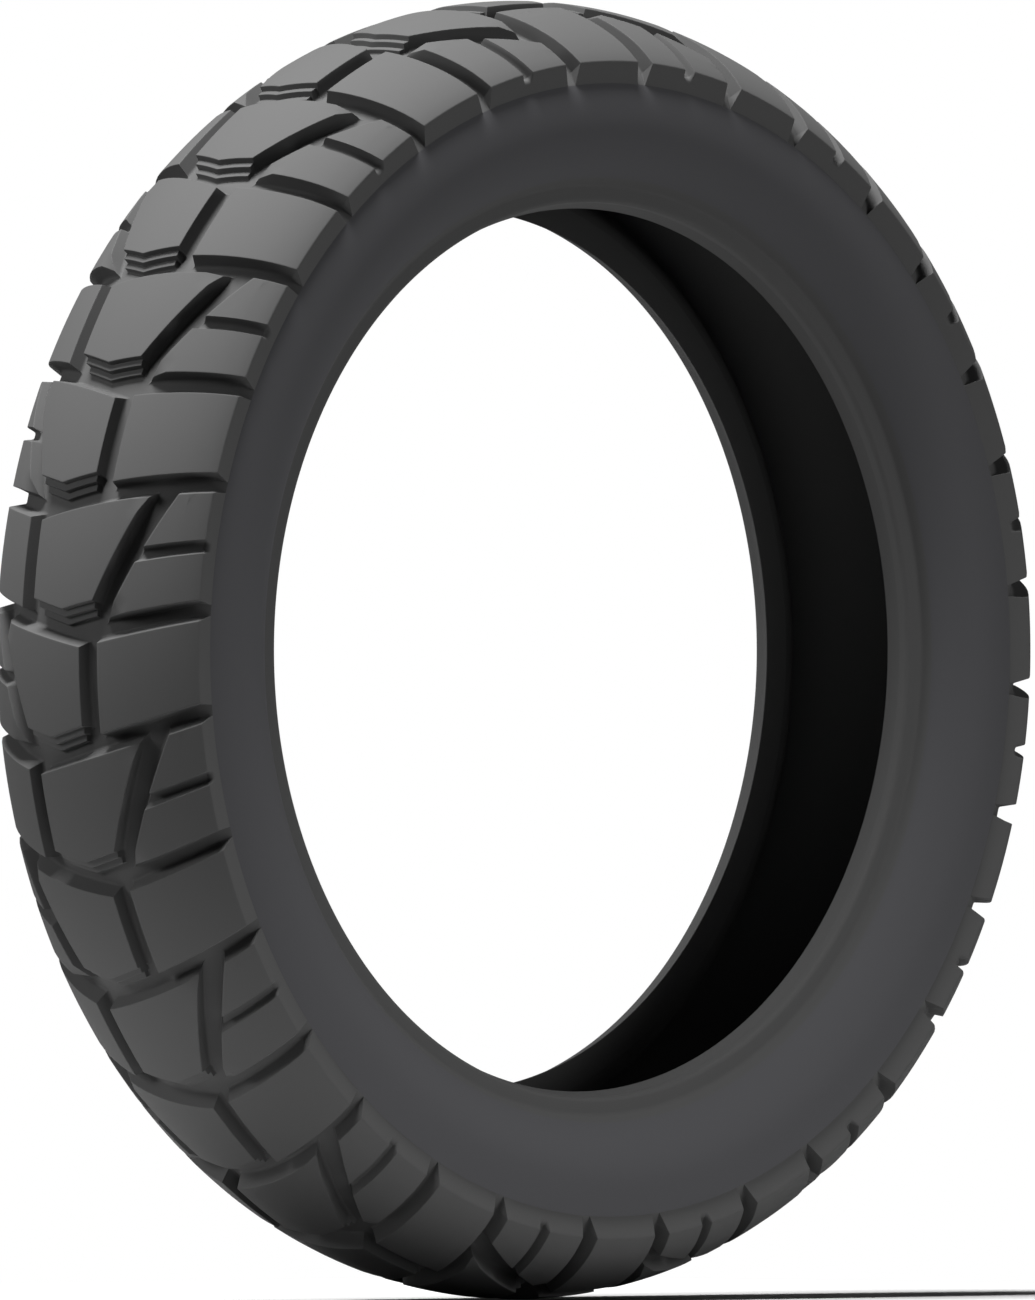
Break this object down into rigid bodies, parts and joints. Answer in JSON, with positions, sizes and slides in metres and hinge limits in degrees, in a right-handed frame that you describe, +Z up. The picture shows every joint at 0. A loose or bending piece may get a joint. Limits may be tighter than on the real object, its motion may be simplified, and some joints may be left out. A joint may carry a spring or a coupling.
{
  "type": "motorcycle tire",
  "caption": "Tubeless motorcycle tire with large alternating tread blocks, stepped chevron edges, notched shoulders and plain rounded sidewalls.",
  "frame": {"origin": "wheel centre: on the axle line, in the tire's middle plane", "axes": "Y along the axle with -Y to the tire's right-hand side, +Z up, X horizontal in the middle plane"},
  "size_m": [0.6704, 0.1466, 0.6704],
  "materials": {
    "tread_rubber": "matt black moulded rubber with a fine grain",
    "sidewall_rubber": "smooth matt black moulded rubber",
    "chafer_rubber": "smooth matt black hard rubber",
    "liner_rubber": "smooth dark airtight rubber",
    "ply_cord": "rubbered textile cord",
    "belt_cord": "rubbered aramid cord",
    "filler_rubber": "hard black rubber",
    "bead_wire": "bronze-coated high-tensile steel wire"
  },
  "bodies": {
    "root": {"inner_liner": "liner_rubber", "carcass_ply_inner": "ply_cord", "carcass_ply_outer": "ply_cord", "belt_ply_inner": "belt_cord", "belt_ply_outer": "belt_cord", "tread_base": "tread_rubber", "center_blocks_right": "tread_rubber", "shoulder_blocks_large_right": "tread_rubber", "shoulder_blocks_split_right": "tread_rubber", "sidewall_right": "sidewall_rubber", "chafer_right": "chafer_rubber", "bead_filler_right": "filler_rubber", "bead_core_rubber_right": "filler_rubber", "bead_wires_right": "bead_wire", "center_blocks_left": "tread_rubber", "shoulder_blocks_large_left": "tread_rubber", "shoulder_blocks_split_left": "tread_rubber", "sidewall_left": "sidewall_rubber", "chafer_left": "chafer_rubber", "bead_filler_left": "filler_rubber", "bead_core_rubber_left": "filler_rubber", "bead_wires_left": "bead_wire"}
  },
  "joints": []
}
